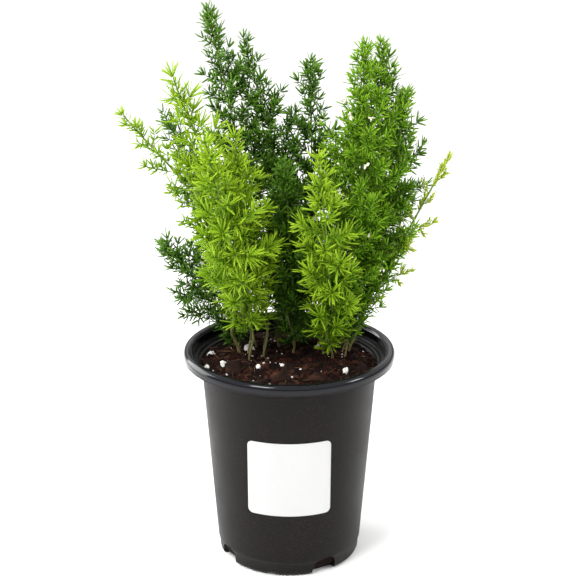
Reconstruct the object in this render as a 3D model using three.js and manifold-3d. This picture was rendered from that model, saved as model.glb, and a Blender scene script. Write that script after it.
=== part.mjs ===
// A foxtail fern, the plume form of Asparagus densiflorus, growing in a moulded nursery pot.
// Millimetres, +Z up. The origin is the centre of the pot's flat underside, and -Y is the side
// that carries the label. Every shoot is two pieces: a bare green stem that stands on the root
// crown, and the closed envelope of the needles round it, with a bore that the stem runs in.

import * as THREE from 'three';
import * as BufferGeometryUtils from 'three/addons/utils/BufferGeometryUtils.js';
import Module from 'manifold-3d';

const GAP = 0.3; // clearance kept between neighbouring pieces
const UP = new THREE.Vector3(0, 1, 0); // reference direction for the sections along a shoot

// Pot
const POT_HEIGHT = 165;
const POT_SEGMENTS = 44;
const WALL = 1.6;
const FLOOR = 2;
const BASE_RADIUS = 53.4;
const LEDGE_Z = 11; // the moulded step near the foot
const LEDGE_STEP = 0.7;
const WALL_TOP_Z = 150;
const WALL_TOP_RADIUS = 65.6;
const COLLAR_RADIUS = 68;
const COLLAR_Z = 152.5;
const RIM_RADIUS = 79.2;
const RIM_MOUTH_RADIUS = 72;
const RIM_SKIRT_Z = 156.5;
const RIM_ROUND = 1.6;
const FOOT_ROUND = 3.5;
const NOTCH_PAIRS = 4; // a wide notch and a narrow one by turns round the foot
const NOTCH_INNER_RADIUS = 46;
const WIDE_NOTCH = { angle: -60.5, half: 10, height: 12.3 }; // degrees from +X
const NARROW_NOTCH = { angle: -105, half: 4.2, height: 3.2 };

// Label
const LABEL_WIDTH = 63.5;
const LABEL_HEIGHT = 61;
const LABEL_THICKNESS = 0.25;
const LABEL_CENTRE_Z = 83;
const LABEL_CORNER = 4;

// Potting mix
const MIX_EDGE_Z = 152.2;
const MIX_CENTRE_Z = 155.5;

// Root crown and its fleshy roots
const CROWN_CENTRE = new THREE.Vector3(2, 16, 134);
const CROWN_RADII = new THREE.Vector3(50, 22, 9);
const TUBER_RADIUS = 6.5;

// Shoots
const STEM_SIDES = 6;
const STEM_SPANS = 11;
const STEM_FOOT_RADIUS = 1.35;
const STEM_TIP_RADIUS = 0.55;
const PLUME_TIP_LENGTH = 5;
const NEIGHBOUR_SHARE = 0.48; // of the distance to the nearest other stem
const DARK_GREEN = 0x3f6f22;
const MID_GREEN = 0x5b9424;
const BRIGHT_GREEN = 0x84b62b;
const OLIVE_GREEN = 0x8b9a3c;

// name, foot on the crown, point where the shoot bends, tip, plume radius, bare length, colour
const SHOOTS = [
  ['back_left_tall', [-18, 20], [-30, 29, 275], [-60, 55, 408], 25, 44, DARK_GREEN],
  ['back_left_inner', [-7, 25], [-6, 38, 275], [-34, 65, 385], 24, 40, DARK_GREEN],
  ['back_centre', [3, 29], [16, 45, 270], [16, 75, 366], 24, 40, DARK_GREEN],
  ['right_inner', [25, 10], [51, -2, 270], [53, -5, 393], 26, 34, MID_GREEN],
  ['right_tall', [33, 24], [74, 32, 275], [67, 40, 386], 26, 34, DARK_GREEN],
  ['right_edge', [40, 14], [72, 10, 262], [83, 5, 356], 22, 32, MID_GREEN],
  ['front_right', [31, 2], [28, -33, 245], [20, -50, 322], 28, 20, BRIGHT_GREEN],
  ['far_right_young', [46, 20], [84, 16, 242], [117, 15, 308], 9, 62, OLIVE_GREEN],
  ['left_front_tall', [-30, 10], [-50, -12, 280], [-80, -35, 377], 27, 40, BRIGHT_GREEN],
  ['far_left_young', [-38, 16], [-62, -3, 270], [-117, -20, 347], 14, 50, BRIGHT_GREEN],
  ['left_low', [-36, 24], [-64, 31, 199], [-95, 35, 233], 19, 28, DARK_GREEN],
  ['left_rear', [-26, 26], [-54, 38, 255], [-94, 50, 332], 22, 40, DARK_GREEN],
  ['front_left', [-28, 0], [-42, -38, 260], [-57, -60, 336], 28, 38, BRIGHT_GREEN],
  ['front_centre', [-18, 4], [-30, -20, 255], [-38, -40, 335], 27, 34, BRIGHT_GREEN],
  ['right_low', [40, 5], [66, 8, 208], [92, 8, 256], 18, 30, MID_GREEN],
  ['back_right', [22, 31], [44, 60, 250], [58, 84, 325], 25, 36, MID_GREEN],
  ['back_low', [8, 36], [0, 74, 238], [-16, 100, 296], 24, 36, MID_GREEN],
  ['heart', [2, 11], [0, 4, 255], [-4, -6, 308], 22, 40, DARK_GREEN],
];

// Stones and bark on the mix: radius from the axis, angle in degrees, half lengths
const PERLITE = [
  [36, 146, [4.6, 3.4, 4.2]],
  [61, 166, [3.4, 2.4, 2.6]],
  [50, 192, [3.2, 2.6, 3.2]],
  [29, 218, [2.6, 2.2, 2.0]],
  [17, 252, [2.2, 2.6, 1.9]],
  [48, 330, [3.6, 2.4, 2.4]],
  [48, 84, [3.0, 2.6, 2.2]],
];
const BARK = [
  [46, 205, [11, 6.5, 2.4]],
  [36, 262, [9, 5, 2.2]],
  [43, 298, [8, 4.6, 2.2]],
  [57, 345, [7, 4.2, 2.0]],
  [56, 60, [8.5, 5, 2.2]],
  [54, 112, [9, 5, 2.2]],
];

const wasm = await Module();
wasm.setup();

// Closed three.js geometry to a solid, and back.
function solidOf(geometry) {
  const bare = geometry.clone();
  for (const name of Object.keys(bare.attributes)) {
    if (name !== 'position') bare.deleteAttribute(name);
  }
  const merged = BufferGeometryUtils.mergeVertices(bare, 1e-4);
  const kept = [];
  const corners = merged.index.array;
  for (let i = 0; i < corners.length; i += 3) {
    const [a, b, c] = corners.subarray(i, i + 3);
    if (a !== b && b !== c && a !== c) kept.push(a, b, c);
  }
  const mesh = new wasm.Mesh({
    numProp: 3,
    vertProperties: new Float32Array(merged.attributes.position.array),
    triVerts: new Uint32Array(kept),
  });
  return new wasm.Manifold(mesh);
}

function geometryOf(solid) {
  const mesh = solid.getMesh();
  const geometry = new THREE.BufferGeometry();
  geometry.setAttribute('position', new THREE.BufferAttribute(new Float32Array(mesh.vertProperties), 3));
  geometry.setIndex(new THREE.BufferAttribute(new Uint32Array(mesh.triVerts), 1));
  return geometry;
}

function piece(name, geometry, color, roughness) {
  const bare = geometry.clone();
  for (const attribute of ['normal', 'uv']) bare.deleteAttribute(attribute);
  const merged = BufferGeometryUtils.mergeVertices(bare, 1e-4);
  merged.computeVertexNormals();
  const mesh = new THREE.Mesh(merged, new THREE.MeshStandardMaterial({ color, roughness, metalness: 0 }));
  mesh.name = name;
  return mesh;
}

// A turned solid about Z from [radius, z] points that run from the axis back to the axis.
function turned(points, segments) {
  const outline = points.map(([r, z]) => new THREE.Vector2(r, z));
  return new THREE.LatheGeometry(outline, segments).rotateX(Math.PI / 2);
}

// Outer radius of the pot's wall at height z.
function wallRadius(z) {
  const foot = BASE_RADIUS + 0.6;
  if (z <= LEDGE_Z) return BASE_RADIUS + (z / LEDGE_Z) * 0.6;
  const share = (z - LEDGE_Z) / (WALL_TOP_Z - LEDGE_Z);
  return foot + LEDGE_STEP + share * (WALL_TOP_RADIUS - foot - LEDGE_STEP);
}

function potGeometry() {
  const collarInner = COLLAR_RADIUS - WALL;
  const skirtInner = RIM_RADIUS - WALL;
  const mouthOuter = RIM_MOUTH_RADIUS + WALL;
  const outline = [
    [0, 0],
    [BASE_RADIUS - FOOT_ROUND, 0],
    [BASE_RADIUS - 0.3 * FOOT_ROUND, 0.3 * FOOT_ROUND],
    [BASE_RADIUS, FOOT_ROUND],
    [wallRadius(LEDGE_Z), LEDGE_Z - 0.5],
    [wallRadius(LEDGE_Z) + LEDGE_STEP, LEDGE_Z + 0.5],
    [WALL_TOP_RADIUS, WALL_TOP_Z],
    [COLLAR_RADIUS, COLLAR_Z],
    [COLLAR_RADIUS, RIM_SKIRT_Z],
    [mouthOuter, RIM_SKIRT_Z + 1.5],
    [mouthOuter, POT_HEIGHT - 2 * RIM_ROUND],
    [skirtInner, POT_HEIGHT - 2 * RIM_ROUND],
    [skirtInner, RIM_SKIRT_Z],
    [RIM_RADIUS - 0.4, RIM_SKIRT_Z],
    [RIM_RADIUS, RIM_SKIRT_Z + 0.8],
    [RIM_RADIUS, POT_HEIGHT - RIM_ROUND],
    [RIM_RADIUS - 0.3 * RIM_ROUND, POT_HEIGHT - 0.3 * RIM_ROUND],
    [RIM_RADIUS - RIM_ROUND, POT_HEIGHT],
    [RIM_MOUTH_RADIUS + RIM_ROUND, POT_HEIGHT],
    [RIM_MOUTH_RADIUS + 0.3 * RIM_ROUND, POT_HEIGHT - 0.3 * RIM_ROUND],
    [RIM_MOUTH_RADIUS, POT_HEIGHT - RIM_ROUND],
    [RIM_MOUTH_RADIUS, RIM_SKIRT_Z],
    [collarInner, COLLAR_Z + WALL],
    [collarInner, COLLAR_Z],
    [WALL_TOP_RADIUS - WALL, WALL_TOP_Z],
    [wallRadius(LEDGE_Z) - WALL, LEDGE_Z],
    [BASE_RADIUS - WALL, FOOT_ROUND + 1],
    [BASE_RADIUS - FOOT_ROUND, FLOOR],
    [0, FLOOR],
  ];
  let pot = solidOf(turned(outline, POT_SEGMENTS));
  for (let i = 0; i < NOTCH_PAIRS; i += 1) {
    for (const notch of [WIDE_NOTCH, NARROW_NOTCH]) {
      const turn = THREE.MathUtils.degToRad(notch.angle + (i * 360) / NOTCH_PAIRS);
      pot = pot.subtract(solidOf(notchGeometry(notch).rotateZ(turn)));
    }
  }
  return geometryOf(pot);
}

// A drainage notch at the foot of the wall, cut along +X: a lopsided arch, steeper on its right.
function notchGeometry({ half, height }) {
  const arch = new THREE.Shape();
  arch.moveTo(-half, -1);
  arch.lineTo(half, -1);
  arch.lineTo(0.96 * half, 0.25 * height);
  arch.quadraticCurveTo(0.75 * half, height, 0.35 * half, height);
  arch.quadraticCurveTo(-0.4 * half, 0.9 * height, -0.65 * half, 0.6 * height);
  const depth = BASE_RADIUS + 6 - NOTCH_INNER_RADIUS;
  const cutter = new THREE.ExtrudeGeometry(arch, { depth, bevelEnabled: false, curveSegments: 3 });
  // the arch's x to +Y, its y to +Z and its depth to +X
  cutter.rotateX(Math.PI / 2);
  cutter.rotateZ(Math.PI / 2);
  return cutter.translate(NOTCH_INNER_RADIUS, 0, 0);
}

// A thin square sheet wrapped on the front of the wall, its corners rounded.
function labelGeometry() {
  const sheet = new THREE.BoxGeometry(LABEL_WIDTH, LABEL_THICKNESS, LABEL_HEIGHT, 14, 1, 2);
  const place = sheet.attributes.position;
  const lift = GAP + LABEL_THICKNESS / 2;
  for (let i = 0; i < place.count; i += 1) {
    const z = LABEL_CENTRE_Z + place.getZ(i);
    const radius = wallRadius(z) + lift - place.getY(i);
    const angle = place.getX(i) / wallRadius(z);
    place.setXYZ(i, radius * Math.sin(angle), -radius * Math.cos(angle), z);
  }
  const middleRadius = wallRadius(LABEL_CENTRE_Z);
  const half = middleRadius * Math.sin(LABEL_WIDTH / 2 / middleRadius) + 0.2;
  const tall = LABEL_HEIGHT / 2 - 0.2;
  const square = new THREE.Shape();
  square.moveTo(-half + LABEL_CORNER, -tall);
  square.lineTo(half - LABEL_CORNER, -tall);
  square.quadraticCurveTo(half, -tall, half, -tall + LABEL_CORNER);
  square.lineTo(half, tall - LABEL_CORNER);
  square.quadraticCurveTo(half, tall, half - LABEL_CORNER, tall);
  square.lineTo(-half + LABEL_CORNER, tall);
  square.quadraticCurveTo(-half, tall, -half, tall - LABEL_CORNER);
  square.lineTo(-half, -tall + LABEL_CORNER);
  square.quadraticCurveTo(-half, -tall, -half + LABEL_CORNER, -tall);
  const cut = { depth: RIM_RADIUS, bevelEnabled: false, curveSegments: 4 };
  const prism = new THREE.ExtrudeGeometry(square, cut);
  prism.rotateX(Math.PI / 2);
  prism.translate(0, 0, LABEL_CENTRE_Z);
  return geometryOf(solidOf(sheet).intersect(solidOf(prism)));
}

// A turned solid whose axis follows a curve: points are [radius, distance along the curve].
// Past either end it goes straight on.
function turnedAlong(curve, points, segments) {
  const geometry = new THREE.LatheGeometry(points.map(([r, s]) => new THREE.Vector2(r, s)), segments);
  const length = curve.getLength();
  const place = geometry.attributes.position;
  for (let i = 0; i < place.count; i += 1) {
    const s = place.getY(i);
    const share = THREE.MathUtils.clamp(s / length, 0, 1);
    const along = curve.getTangentAt(share);
    const centre = curve.getPointAt(share).addScaledVector(along, s - share * length);
    const side = UP.clone().addScaledVector(along, -UP.dot(along)).normalize();
    const across = side.clone().cross(along);
    centre.addScaledVector(side, place.getX(i)).addScaledVector(across, place.getZ(i));
    place.setXYZ(i, centre.x, centre.y, centre.z);
  }
  return geometry;
}

// Height of the crown's skin over the point x, y.
function crownTop(x, y) {
  const u = (x - CROWN_CENTRE.x) / CROWN_RADII.x;
  const v = (y - CROWN_CENTRE.y) / CROWN_RADII.y;
  return CROWN_CENTRE.z + CROWN_RADII.z * Math.sqrt(Math.max(0, 1 - u * u - v * v));
}

function crownGeometry(grow) {
  const lump = new THREE.SphereGeometry(1, 16, 8).rotateX(Math.PI / 2);
  lump.scale(CROWN_RADII.x + grow, CROWN_RADII.y + grow, CROWN_RADII.z + grow);
  return lump.translate(CROWN_CENTRE.x, CROWN_CENTRE.y, CROWN_CENTRE.z);
}

// A fleshy root: it leaves the crown, swells and runs out to a point.
function tuberCurve(angle) {
  const turn = THREE.MathUtils.degToRad(angle);
  const out = new THREE.Vector3(Math.cos(turn), Math.sin(turn), 0);
  const start = new THREE.Vector3(out.x * 18, CROWN_CENTRE.y + out.y * 6, CROWN_CENTRE.z - 2);
  return new THREE.CatmullRomCurve3([
    start,
    start.clone().add(new THREE.Vector3(out.x * 9, out.y * 9, -34)),
    start.clone().add(new THREE.Vector3(out.x * 13, out.y * 11, -92)),
  ]);
}

function tuberGeometry(curve, grow) {
  const length = curve.getLength();
  const points = [[0, -grow]];
  for (const share of [0, 0.2, 0.4, 0.6, 0.8, 1]) {
    const swell = 0.3 + 0.7 * Math.sin(Math.PI * share) ** 2;
    points.push([TUBER_RADIUS * swell + grow, share * length]);
  }
  points.push([0, length + 4 + grow]);
  return turnedAlong(curve, points, 6);
}

// The line of a shoot: straight up out of the crown, through its bend, out to its tip.
function shootCurve([, [x, y], bend, tip]) {
  const slope = 0.9; // allowance for the crown's slope under the stem's foot
  const foot = new THREE.Vector3(x, y, crownTop(x, y) + GAP + slope);
  const bendPoint = new THREE.Vector3(...bend);
  const collar = new THREE.Vector3(x + 0.05 * (bend[0] - x), y + 0.05 * (bend[1] - y), foot.z + 24);
  return new THREE.CatmullRomCurve3([foot, collar, bendPoint, new THREE.Vector3(...tip)]);
}

function stemRadius(share) {
  return THREE.MathUtils.lerp(STEM_FOOT_RADIUS, STEM_TIP_RADIUS, share);
}

function stemGeometry(curve) {
  const length = curve.getLength();
  const points = [[0, 0]];
  for (let i = 0; i <= STEM_SPANS; i += 1) {
    points.push([stemRadius(i / STEM_SPANS), (i / STEM_SPANS) * length]);
  }
  points.push([0, length]);
  return turnedAlong(curve, points, STEM_SIDES);
}

// The hole that a stem stands in, from the crown's pocket up past the top of the mix.
function stemHoleGeometry(curve) {
  const length = curve.getLength();
  const radius = STEM_FOOT_RADIUS + GAP;
  const span = length / STEM_SPANS;
  const points = [[0, -3], [radius, -3], [radius, 0], [radius, span], [radius, 2 * span], [0, 2 * span]];
  return turnedAlong(curve, points, STEM_SIDES);
}

// Distance from a point to the nearest other shoot's stem.
function clearance(point, own, curves) {
  let nearest = Infinity;
  for (const curve of curves) {
    if (curve === own) continue;
    for (const other of curve.getSpacedPoints(120)) nearest = Math.min(nearest, other.distanceTo(point));
  }
  return nearest;
}

// The envelope of a shoot's needles, closed at the tip and open below where the stem goes in.
// It fills out above the bare stem, narrows to the tip and leaves each neighbour its own room.
function foliageGeometry(curve, curves, plumeRadius, bareLength) {
  const length = curve.getLength();
  const first = Math.round((bareLength / length) * STEM_SPANS);
  const bore = [];
  const skin = [];
  for (let i = first; i <= STEM_SPANS; i += 1) {
    const share = i / STEM_SPANS;
    const rise = (i - first) / (STEM_SPANS - first);
    const shape = Math.min(1, 0.4 + 2.2 * rise) * Math.min(1, 0.34 + 1.9 * (1 - rise));
    const room = NEIGHBOUR_SHARE * clearance(curve.getPointAt(share), curve, curves) - 0.5;
    skin.push([Math.max(3, Math.min(plumeRadius * shape, room)), share * length]);
    bore.push([stemRadius(share) + 1.4 * GAP, share * length]);
  }
  bore[bore.length - 1][1] += GAP; // the blind end, just past the stem's tip
  const outline = [[0, length + GAP], ...bore.reverse(), ...skin, [0, length + PLUME_TIP_LENGTH]];
  return turnedAlong(curve, outline, STEM_SIDES);
}

// An angular chip: a coarse ball squeezed to its half lengths and turned to lie on the mix.
function chipGeometry([radius, degrees, halves], grow, seed) {
  const chip = new THREE.IcosahedronGeometry(1, 1);
  chip.scale(halves[0] + grow, halves[1] + grow, halves[2] + grow);
  chip.rotateX(0.25 * Math.sin(seed * 2.1));
  chip.rotateY(0.2 * Math.cos(seed * 1.3));
  chip.rotateZ(seed * 1.9);
  const angle = THREE.MathUtils.degToRad(degrees);
  return chip.translate(radius * Math.cos(angle), radius * Math.sin(angle), mixTop(radius) + 0.2 * halves[2]);
}

// Height of the top of the mix at a distance from the axis.
function mixTop(radius) {
  const share = Math.min(1, radius / (COLLAR_RADIUS - WALL));
  return THREE.MathUtils.lerp(MIX_CENTRE_Z, MIX_EDGE_Z, share * share);
}

function mixGeometry(curves, tuberCurves) {
  const outline = [
    [0, FLOOR + GAP],
    [BASE_RADIUS - FOOT_ROUND - GAP, FLOOR + GAP],
    [BASE_RADIUS - WALL - GAP, FOOT_ROUND + 1 + GAP],
    [wallRadius(LEDGE_Z) - WALL - GAP, LEDGE_Z],
    [WALL_TOP_RADIUS - WALL - GAP, WALL_TOP_Z],
    [COLLAR_RADIUS - WALL - 2 * GAP, MIX_EDGE_Z],
    [52, mixTop(52)],
    [30, mixTop(30)],
    [0, MIX_CENTRE_Z],
  ];
  let mix = solidOf(turned(outline, POT_SEGMENTS));
  mix = mix.subtract(solidOf(crownGeometry(GAP)));
  for (const curve of tuberCurves) mix = mix.subtract(solidOf(tuberGeometry(curve, GAP)));
  for (const curve of curves) mix = mix.subtract(solidOf(stemHoleGeometry(curve)));
  PERLITE.forEach((row, i) => {
    mix = mix.subtract(solidOf(chipGeometry(row, GAP, i)));
  });
  BARK.forEach((row, i) => {
    mix = mix.subtract(solidOf(chipGeometry(row, GAP, i + 20)));
  });
  return geometryOf(mix);
}

const object = new THREE.Group();
const curves = SHOOTS.map(shootCurve);
const tubers = [20, 100, 165, 250].map(tuberCurve);

object.add(piece('nursery_pot', potGeometry(), 0x2b2828, 0.42));
object.add(piece('blank_label', labelGeometry(), 0xf4f4f2, 0.5));
object.add(piece('potting_mix', mixGeometry(curves, tubers), 0x3a241c, 0.95));
object.add(piece('root_crown', crownGeometry(0), 0x8a6a48, 0.85));

tubers.forEach((curve, i) => {
  const root = solidOf(tuberGeometry(curve, 0)).subtract(solidOf(crownGeometry(GAP)));
  object.add(piece(`fleshy_root_${i + 1}`, geometryOf(root), 0xcdb48a, 0.7));
});

SHOOTS.forEach(([name, , , , plumeRadius, bareLength, color], i) => {
  object.add(piece(`stem_${name}`, stemGeometry(curves[i]), 0x6f7f3a, 0.6));
  const plume = foliageGeometry(curves[i], curves, plumeRadius, bareLength);
  object.add(piece(`foliage_${name}`, plume, color, 0.6));
});

PERLITE.forEach((row, i) => {
  object.add(piece(`perlite_${i + 1}`, chipGeometry(row, 0, i), 0xf1efe9, 0.9));
});
BARK.forEach((row, i) => {
  object.add(piece(`bark_chip_${i + 1}`, chipGeometry(row, 0, i + 20), 0x5a3424, 0.9));
});

export default object;
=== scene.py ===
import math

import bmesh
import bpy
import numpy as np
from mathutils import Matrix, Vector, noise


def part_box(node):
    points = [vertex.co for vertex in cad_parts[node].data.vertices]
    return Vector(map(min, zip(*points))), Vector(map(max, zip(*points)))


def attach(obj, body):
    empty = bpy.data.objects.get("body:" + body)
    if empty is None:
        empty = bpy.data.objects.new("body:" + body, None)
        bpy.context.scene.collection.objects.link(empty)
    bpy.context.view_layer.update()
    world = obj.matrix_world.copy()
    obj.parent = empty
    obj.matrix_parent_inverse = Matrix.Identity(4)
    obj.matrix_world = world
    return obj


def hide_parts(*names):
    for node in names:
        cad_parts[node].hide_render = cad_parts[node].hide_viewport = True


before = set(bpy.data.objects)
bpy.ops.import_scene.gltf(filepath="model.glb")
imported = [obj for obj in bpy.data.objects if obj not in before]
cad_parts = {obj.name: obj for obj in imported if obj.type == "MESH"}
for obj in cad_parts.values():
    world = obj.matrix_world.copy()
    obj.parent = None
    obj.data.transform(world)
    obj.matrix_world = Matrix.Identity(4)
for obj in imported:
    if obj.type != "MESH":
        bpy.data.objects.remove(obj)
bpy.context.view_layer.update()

# %% [markdown]
# # A potted foxtail fern
# The plant is a plume-forming asparagus: stiff upright shoots, each a bottle brush of short side
# twigs set all round with soft needles. It stands in a black moulded nursery pot filled with a
# bark mix. The CAD frame gives the line of every shoot and the size of the pot; everything here
# is grown, turned or scattered round those lines, in metres.

MM = 0.001

# %% [markdown]
# ## Camera and light first
# The camera looks down on the pot by a little under 20 degrees through a long lens, so the rim
# shows as a flat ellipse and the plumes keep their true heights. A long lens could be had by a
# narrow field as well; a focal length says it plainly.

# %% The camera
CAMERA_SIDE = -0.9 * MM  # left of the pot's axis
CAMERA_BACK = 1.118      # in front of the axis
CAMERA_UP = 0.6016       # above the floor
CAMERA_DOWN = 0.336      # how far it looks down, in radians
LENS = 100               # focal length in mm

camera = bpy.data.objects.new("camera", bpy.data.cameras.new("camera"))
bpy.context.collection.objects.link(camera)
camera.location = (CAMERA_SIDE, -CAMERA_BACK, CAMERA_UP)
camera.rotation_euler = (math.pi / 2 - CAMERA_DOWN, 0, 0)
camera.data.lens = LENS
bpy.context.scene.camera = camera
bpy.context.scene.view_settings.view_transform = "Standard"

# %% [markdown]
# ## Colours and nodes
# A material here is a graph of shader nodes. One function turns the colour that a screen shows
# into the linear light that the renderer adds up, and one adds a node, sets its values and wires
# its inputs, so that each material reads as a short list.


# %% Colour and node helpers
def linear(hexcode):
    """The linear colour of an sRGB hex value such as #5f9e20."""
    parts = [int(hexcode[i:i + 2], 16) / 255 for i in (1, 3, 5)]
    return [x / 12.92 if x <= 0.04045 else ((x + 0.055) / 1.055) ** 2.4 for x in parts] + [1.0]


def wire(tree, node, links):
    """Feeds inputs of a node from the outputs given."""
    for key, source in links.items():
        tree.links.new(source, node.inputs[key])


def add(tree, kind, settings={}, links={}):
    """Adds a shader node. A setting is an attribute or an input, where text is a hex colour."""
    node = tree.nodes.new("ShaderNode" + kind)
    for key, value in settings.items():
        if isinstance(key, str) and hasattr(node, key):
            setattr(node, key, value)
        else:
            node.inputs[key].default_value = linear(value) if isinstance(value, str) else value
    wire(tree, node, links)
    return node


def new_material(name, **values):
    """A material with its Principled shader, whose sockets take the values given."""
    material = bpy.data.materials.new(name)
    material.use_nodes = True
    shader = material.node_tree.nodes["Principled BSDF"]
    for key, value in values.items():
        shader.inputs[key.replace("_", " ")].default_value = value
    return material, material.node_tree, shader


# %% [markdown]
# ## Floor and light
# The object stands on a wide pale floor in soft light: a sky for the fill, a huge panel overhead
# that lights the floor evenly, a smaller one high on the left for shape, a weaker one on the
# right, and one low at the back left for the pale reflection down the pot's edge. The sky that
# the lens sees is white, as studio paper is, but it sheds less light, so shade stays in the plant.

# %% Floor, sky and panels
FLOOR_HALF = 5.0
FLOOR_DROP = 0.3 * MM        # clear of the pot's foot
SKY_FILL = 0.26              # strength of the sky as a light
floor_mesh = bpy.data.meshes.new("floor")
corners = [(x * FLOOR_HALF, y * FLOOR_HALF, 0) for x, y in ((-1, -1), (1, -1), (1, 1), (-1, 1))]
floor_mesh.from_pydata(corners, [], [(0, 1, 2, 3)])
floor = bpy.data.objects.new("floor", floor_mesh)
floor.location.z = -FLOOR_DROP
bpy.context.collection.objects.link(floor)

paint, tree, shader = new_material("studio_floor_paint", Roughness=0.9)
cloud = add(tree, "TexNoise", {"Scale": 1.5, "Detail": 2.0})
shade = add(tree, "Mix", {"data_type": "RGBA", 6: "#f6f6f5", 7: "#f9f9f8"},
            {0: cloud.outputs["Fac"]})
wire(tree, shader, {"Base Color": shade.outputs[2]})
floor_mesh.materials.append(paint)

world = bpy.data.worlds.new("sky")
bpy.context.scene.world = world
world.use_nodes = True
tree = world.node_tree
sky = tree.nodes["Background"]
sky.inputs["Color"].default_value = linear("#ffffff")
ray = add(tree, "LightPath")
level = add(tree, "MapRange", {"To Min": SKY_FILL, "To Max": 1.0},
            {"Value": ray.outputs["Is Camera Ray"]})
wire(tree, sky, {"Strength": level.outputs["Result"]})


def panel(name, place, aim, size, power):
    """A square soft light that faces a point, out of sight of the lens."""
    light = bpy.data.lights.new(name, "AREA")
    light.size = size
    light.energy = power
    lamp = bpy.data.objects.new(name, light)
    lamp.location = place
    lamp.visible_camera = False
    lamp.rotation_euler = (Vector(aim) - Vector(place)).to_track_quat("-Z", "Y").to_euler()
    bpy.context.collection.objects.link(lamp)


panel("key_panel", (-0.9, -1.2, 1.9), (0, 0, 0.2), 0.7, 30)
panel("fill_panel", (1.6, -0.3, 1.1), (0, 0, 0.2), 0.45, 11)
panel("ceiling_panel", (0, 1 * MM, 3.6), (0, 0, 0), 24.0, 1500)
panel("edge_panel", (-1.2, 0.55, 0.55), (0, 0, 0.12), 1.0, 20)
print("four panels and a sky of", SKY_FILL)

# %% [markdown]
# ## Making meshes
# Every piece is built from arrays of points and faces. One helper makes the object, sets it
# smooth, gives it its material and tells the frame which CAD nodes it stands for.


# %% Mesh helper
def make_piece(name, points, faces, material, stands_for):
    """An object from points and faces, riding on the one body, in place of its CAD nodes."""
    mesh = bpy.data.meshes.new(name)
    mesh.from_pydata([tuple(p) for p in points], [], [tuple(int(i) for i in f) for f in faces])
    return dress_piece(name, mesh, material, stands_for)


def dress_piece(name, mesh, material, stands_for):
    """An object from a finished mesh: smooth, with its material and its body."""
    mesh.polygons.foreach_set("use_smooth", [True] * len(mesh.polygons))
    mesh.materials.append(material)
    piece = bpy.data.objects.new(name, mesh)
    bpy.context.collection.objects.link(piece)
    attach(piece, "root")
    if stands_for:
        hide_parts(*stands_for)
    return piece


# %% [markdown]
# ## The pot
# A nursery pot is injection moulded from black polyethylene: a thin tapered wall, a step near
# the foot, a collar under the rim and a rolled lip. Turning a profile round the axis gives all
# of that.

# %% Pot sizes from the frame
_, pot_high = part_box("nursery_pot")
POT_TOP = pot_high.z
RIM = pot_high.x
BASE = 53.4 * MM                     # radius of the foot
WALL = 1.6 * MM                      # thickness
LEDGE = 11 * MM                      # height of the step over the foot
WALL_TOP = (65.6 * MM, 150 * MM)     # radius, height
COLLAR = (68 * MM, 152.5 * MM)
MOUTH = 72 * MM                      # radius inside the lip
SKIRT = 156.5 * MM                   # height where the lip's skirt begins
print("pot", round(POT_TOP * 1000, 1), "mm tall, rim", round(2 * RIM * 1000, 1), "mm across")


def wall_at(z):
    """Radius of the wall's outside at height z."""
    low = BASE + 1.3 * MM
    return low + (z - LEDGE) / (WALL_TOP[1] - LEDGE) * (WALL_TOP[0] - low)


def arc(centre, radius_r, radius_z, start, end, steps):
    """Points [r, z] on part of an ellipse, angles in degrees."""
    turns = np.radians(np.linspace(start, end, steps))
    return [(centre[0] + radius_r * math.cos(t), centre[1] + radius_z * math.sin(t)) for t in turns]


# %% The pot's profile
SEGMENTS = 192
LIP = 3.6 * MM                       # half the width of the rolled lip
lip_centre = (RIM - LIP, POT_TOP - 4 * MM)
outside = (
    [(0, 0), (30 * MM, 0)]
    + arc((BASE - 3.5 * MM, 3.5 * MM), 3.5 * MM, 3.5 * MM, -90, 0, 6)
    + [(BASE + 0.5 * MM, LEDGE - 0.8 * MM), (BASE + 0.9 * MM, LEDGE - 0.2 * MM)]
    + [(wall_at(z * MM), z * MM) for z in (11.6, 14, 40, 75, 110, 146)]
    + [WALL_TOP, (COLLAR[0] - 0.8 * MM, COLLAR[1] - 0.9 * MM), COLLAR]
    + [(COLLAR[0] + 0.1 * MM, SKIRT - 1 * MM), (COLLAR[0] + 0.8 * MM, SKIRT)]
    + [(RIM - 1.6 * MM, SKIRT + 0.1 * MM), (RIM - 0.5 * MM, SKIRT + 0.6 * MM)]
)
lip = arc(lip_centre, LIP, 4 * MM, -20, 180, 16)
inside = (
    [(MOUTH - 0.2 * MM, SKIRT + 2 * MM), (MOUTH - 0.6 * MM, SKIRT)]
    + [(COLLAR[0] - WALL, COLLAR[1] + 1.4 * MM), (COLLAR[0] - WALL, COLLAR[1])]
    + [(WALL_TOP[0] - WALL, WALL_TOP[1]), (wall_at(LEDGE) - WALL, LEDGE)]
    + [(BASE - WALL, 5 * MM), (BASE - 4 * MM, 2 * MM), (0, 2 * MM)]
)
profile = outside + lip + inside


def turned(profile, segments):
    """Points and faces of a profile of (radius, height), from the axis back to the axis."""
    points, faces, rings = [], [], []
    for r, z in profile:
        if r < 1e-9:
            rings.append([len(points)] * segments)
            points.append((0, 0, z))
        else:
            rings.append(list(range(len(points), len(points) + segments)))
            for i in range(segments):
                t = 2 * math.pi * i / segments
                points.append((r * math.cos(t), r * math.sin(t), z))
    for low, high in zip(rings, rings[1:]):
        for i in range(segments):
            j = (i + 1) % segments
            face = list(dict.fromkeys((low[i], low[j], high[j], high[i])))
            if len(face) > 2:
                faces.append(face)
    return points, faces


# %% [markdown]
# ### Moulded polyethylene
# Black HDPE, injection moulded: the polished tool leaves a soft sheen, and handling dulls it in
# patches, leaves a few pale scuffs and lets potting dust settle. So the black barely changes, and
# the eye reads the roughness: broad clouds of dull and glossy, with fine grain in the bump.

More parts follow.
